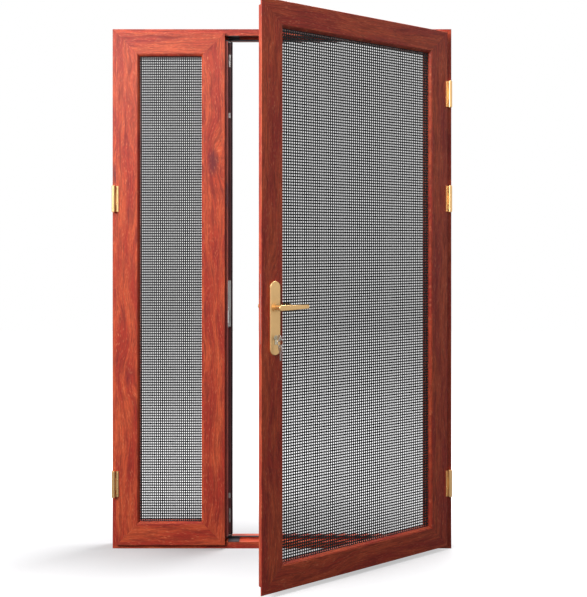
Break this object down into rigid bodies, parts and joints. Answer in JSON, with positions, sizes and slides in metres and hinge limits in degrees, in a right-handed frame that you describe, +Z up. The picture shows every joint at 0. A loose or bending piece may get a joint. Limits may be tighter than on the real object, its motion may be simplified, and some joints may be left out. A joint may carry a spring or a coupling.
{
  "type": "aluminium double-leaf screen door set",
  "caption": "Unequal double screen door in an aluminium frame: a narrow and a wide mitred leaf with mesh panels, barrel hinges, lever lock and flush bolts.",
  "frame": {"origin": "centre of the sill's underside, in plan the middle of the frame's width and depth", "axes": "+X to the right seen from the hinge side, -Y towards the side the leaves open to, +Z up"},
  "size_m": [1.37, 0.6117, 2.1],
  "materials": {
    "wood_finish": "satin red wood-grain film on aluminium",
    "seal": "matt",
    "black_plastic": "matt",
    "gold": "satin",
    "mesh": "dark coated wire",
    "steel": "satin",
    "cylinder_nickel": "satin"
  },
  "bodies": {
    "frame": {"left_jamb": "wood_finish", "right_jamb": "wood_finish", "head": "wood_finish", "sill": "wood_finish", "frame_seals": "seal", "rebate_blocks": "black_plastic", "hinge_frame_halves": "gold", "hinge_pins": "gold"},
    "narrow_leaf": {"narrow_hinge_stile": "wood_finish", "narrow_meeting_stile": "wood_finish", "narrow_top_rail": "wood_finish", "narrow_bottom_rail": "wood_finish", "narrow_side_beads": "wood_finish", "narrow_cross_beads": "wood_finish", "narrow_screen": "mesh", "narrow_hinge_halves": "gold", "meeting_mullion": "wood_finish", "mullion_lip": "wood_finish", "mullion_caps": "black_plastic", "mullion_seal": "seal", "strike_plates": "steel", "flush_bolt_plates": "steel"},
    "top_bolt": {"top_bolt_rod": "steel"},
    "bottom_bolt": {"bottom_bolt_rod": "steel"},
    "wide_leaf": {"wide_hinge_stile": "wood_finish", "wide_lock_stile": "wood_finish", "wide_top_rail": "wood_finish", "wide_bottom_rail": "wood_finish", "wide_side_beads": "wood_finish", "wide_cross_beads": "wood_finish", "wide_screen": "mesh", "wide_hinge_halves": "gold", "mortise_lock": "steel", "outer_backplate": "gold", "inner_backplate": "gold", "lock_cylinder": "cylinder_nickel"},
    "lever": {"outer_lever": "gold", "inner_lever": "gold", "spindle": "steel"},
    "latch": {"latch_bolt": "steel"},
    "deadbolt": {"deadbolt": "steel"},
    "key": {"cylinder_plug": "cylinder_nickel", "key": "steel", "key_ring": "steel", "hanging_key": "steel"}
  },
  "joints": [
    {"name": "wide_leaf_swing", "type": "hinge", "parent": "frame", "child": "wide_leaf", "pos_m": [0.677, -0.052, 1.05], "axis": [0, 0, 1], "range_deg": [-35.2, 59.8]},
    {"name": "narrow_leaf_swing", "type": "hinge", "parent": "frame", "child": "narrow_leaf", "pos_m": [-0.677, -0.052, 1.05], "axis": [0, 0, -1], "range_deg": [0, 95]},
    {"name": "lever_turn", "type": "hinge", "parent": "wide_leaf", "child": "lever", "pos_m": [-0.01997, -0.53509, 1.01], "axis": [-0.5764, 0.8171, 0], "range_deg": [0, 40], "stiffness_Nm_per_rad": 1.5, "springref_deg": -20.05},
    {"name": "latch_slide", "type": "slide", "parent": "wide_leaf", "child": "latch", "axis": [0.8171, 0.5764, 0], "range_m": [0, 0.00501]},
    {"name": "key_turn", "type": "hinge", "parent": "wide_leaf", "child": "key", "pos_m": [-0.01997, -0.53509, 0.905], "axis": [0.5764, -0.8171, 0], "range_deg": [0, 360]},
    {"name": "deadbolt_slide", "type": "slide", "parent": "wide_leaf", "child": "deadbolt", "axis": [-0.8171, -0.5764, 0], "range_m": [0, 0.01101]},
    {"name": "top_bolt_slide", "type": "slide", "parent": "narrow_leaf", "child": "top_bolt", "axis": [0, 0, 1], "range_m": [0, 0.015]},
    {"name": "bottom_bolt_slide", "type": "slide", "parent": "narrow_leaf", "child": "bottom_bolt", "axis": [0, 0, -1], "range_m": [0, 0.015]}
  ],
  "couplings": [
    {"joint": "latch_slide", "follows": "lever_turn", "m_per_rad": 0.007162},
    {"joint": "deadbolt_slide", "follows": "key_turn", "m_per_rad": 0.0017507}
  ]
}
